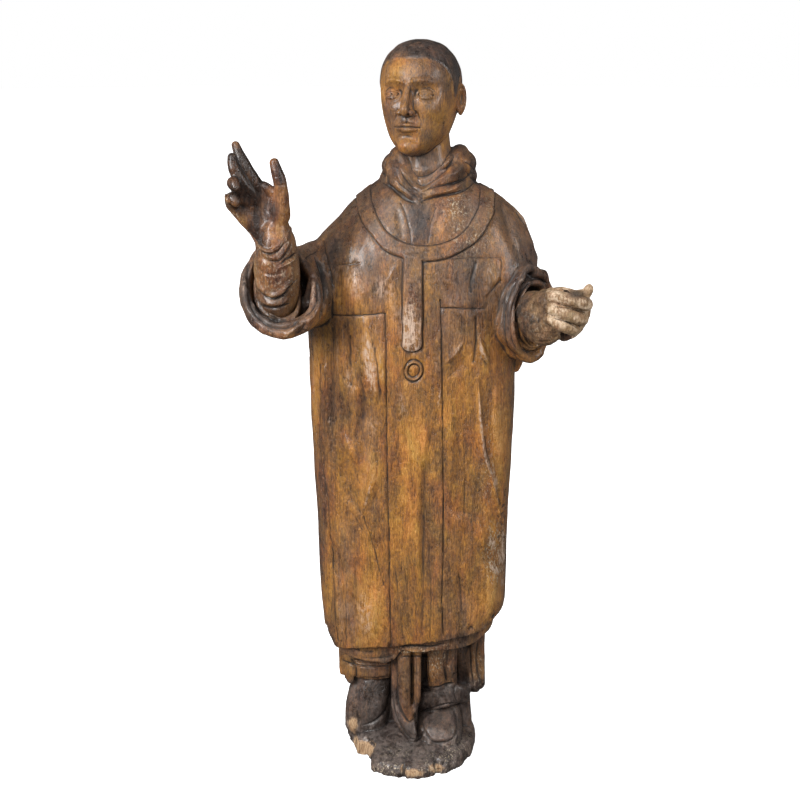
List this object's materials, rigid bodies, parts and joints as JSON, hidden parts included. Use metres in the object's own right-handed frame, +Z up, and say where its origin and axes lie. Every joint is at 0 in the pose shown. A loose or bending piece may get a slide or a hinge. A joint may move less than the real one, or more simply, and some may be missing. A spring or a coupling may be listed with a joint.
{
  "type": "carved wooden saint statue",
  "caption": "Carved wooden standing figure in a long chasuble and pallium, with a raised open hand, a closed fist round an empty grip, and a low base with a broken front edge.",
  "frame": {"origin": "centre of the base's flat underside", "axes": "+Z up through the head; the figure faces -Y; +X is the figure's own left, the side of the closed fist"},
  "size_m": [0.6829, 0.4037, 1.4998],
  "materials": {
    "stained_wood": "old brown stain under worn wax, satin",
    "hand_wood": "old brown stain, satin",
    "bare_wood": "pale worn wood, dull"
  },
  "bodies": {
    "root": {"figure": "stained_wood", "right_forearm": "hand_wood", "left_fist": "bare_wood"}
  },
  "joints": []
}
